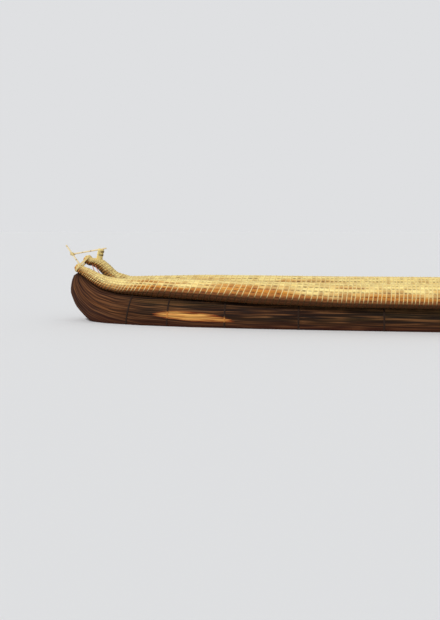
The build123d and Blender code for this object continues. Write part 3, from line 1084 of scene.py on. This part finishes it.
# %% Pale cane for the pole, the rail and the sticks
pale_cane = Finish("pale_cane", 5.0, 260.0)
pale_cane.colour = pale_cane.fibres((230, 204, 150), (254, 242, 204))
pale_cane.coat((196, 150, 92), pale_cane.patch, 0.40)
pale_cane.coat((188, 92, 72), pale_cane.read("red"))
pale_cane.coat((110, 72, 38), pale_cane.read("groove"), 0.8)
pale_cane.done(0.40, 0.65, 0.25, 0.001)

# %% [markdown]
# The rope is twisted from the same reed, in slanting strands, with painted shade in the hollows
# between them. New rope is paler than the stems that it binds, and browner where the roll's damp
# and painted shade reach it. Near the tips and on the post it has more painted shade. The hull's
# hoops are nearly black, but orange on the bare stretch.

# %% Reed rope, new and dark
STRAND_PITCH = 0.020  # along the rope, from one strand to the next
WAVE_BANDS = 10  # a wave texture turns once in 2 pi over so much
ROPE_GIRTH = 2 * math.pi * TURN_ROPE

slant = (2 * math.pi / STRAND_PITCH / WAVE_BANDS, 2 * math.pi / ROPE_GIRTH / WAVE_BANDS, 0.0)
for name, hollow, pale in (("reed_rope", (228, 192, 116), (254, 240, 180)),
                           ("dark_rope", (26, 15, 10), (68, 46, 32))):
    rope = Finish(name, 40.0, 600.0)
    place = reckon(rope.tree, "MULTIPLY", rope.lay, slant, "ShaderNodeVectorMath")
    wave = {"Vector": place, "Scale": 1.0, "Distortion": 0.4}
    rope.stem = add(rope.tree, "ShaderNodeTexWave", wave, bands_direction="DIAGONAL").outputs["Fac"]
    # Pale strands, with painted shade in the hollows between them.
    rope.colour = rope.blend(hollow, pale, rope.ramp(rope.stem, 0.1, 0.7))
    rope.coat(hollow, rope.fibre, 0.35)
    # Browner where the roll's stain mask, damp and painted shade, reaches the rope.
    rope.coat((78, 54, 24), rope.ramp(rope.read("stain"), 0.35, 0.85))
    rope.coat((206, 138, 66), rope.ramp(rope.read("bare"), 0.0, 0.4))
    # Painted shade on the lower halves of the turns near the tips, and on the post's lashings.
    rope.coat((66, 38, 17), rope.read("old"))
    rope.done(0.65, 0.90, 0.60, 0.003)

# %% [markdown]
# Every piece already knows its material slot, so the finishes are handed out by that name.

# %% Give each piece its finish
for name, slot in slot_of.items():
    bpy.data.objects[name].data.materials.append(materials[slot])
print("finished", len(slot_of), "pieces")

# %% [markdown]
# The light is that of a plain studio: a pale sky all round and one broad lamp that stands high on
# the port side. The camera sees the sky as the same pale grey as the floor, whatever light it gives.

# %% Light and backdrop
SKY_COLOUR = (0.95, 0.97, 1.0, 1.0)
SKY_LIGHT = 0.50
SKY_SEEN = (0.738, 0.745, 0.760, 1.0)  # as the floor looks under the sky and the lamp
LAMP = 1.95
LAMP_SPREAD = math.radians(10)
LAMP_TILT = (math.radians(-42), math.radians(20), 0)

world = bpy.data.worlds.new("studio")
world.use_nodes = True
sky = world.node_tree
sky.nodes.clear()
path = sky.nodes.new("ShaderNodeLightPath").outputs
seen = reckon(sky, "MAXIMUM", path["Is Camera Ray"], path["Is Glossy Ray"])
seen = reckon(sky, "MAXIMUM", seen, path["Is Transmission Ray"])
light = add(sky, "ShaderNodeBackground", {"Color": SKY_COLOUR, "Strength": SKY_LIGHT})
pale = add(sky, "ShaderNodeBackground", {"Color": SKY_SEEN, "Strength": 1.0})
both = add(sky, "ShaderNodeMixShader", {0: seen, 1: light.outputs[0], 2: pale.outputs[0]})
add(sky, "ShaderNodeOutputWorld", {"Surface": both.outputs[0]})
bpy.context.scene.world = world

lamp_data = bpy.data.lights.new("lamp", "SUN")
lamp_data.energy = LAMP
lamp_data.angle = LAMP_SPREAD
put("lamp", lamp_data).rotation_euler = LAMP_TILT
bpy.context.scene.view_settings.view_transform = "Standard"
print("lamp at", LAMP, "and sky at", SKY_LIGHT)

# %% [markdown]
# The floor lies at the waterline, so it hides the part of the hull that is under water. It is so
# wide that its edge is lost in the backdrop, and only staged, so it isn't a part of the boat.

# %% Floor
FLOOR_HALF = 900.0
FLOOR_GREY = (0.80, 0.80, 0.80, 1)
FLOOR_ROUGH = 0.9

floor_mesh = bpy.data.meshes.new("floor")
signs = ((-1, -1), (1, -1), (1, 1), (-1, 1))
floor_mesh.from_pydata([(FLOOR_HALF * x, FLOOR_HALF * y, 0) for x, y in signs], [], [(0, 1, 2, 3)])
floor = put("floor", floor_mesh)
floor_paint = bpy.data.materials.new("floor_paint")
floor_paint.use_nodes = True
floor_shader = floor_paint.node_tree.nodes["Principled BSDF"]
floor_shader.inputs["Base Color"].default_value = FLOOR_GREY
floor_shader.inputs["Roughness"].default_value = FLOOR_ROUGH
floor_mesh.materials.append(floor_paint)
print("floor at", floor.location.z)
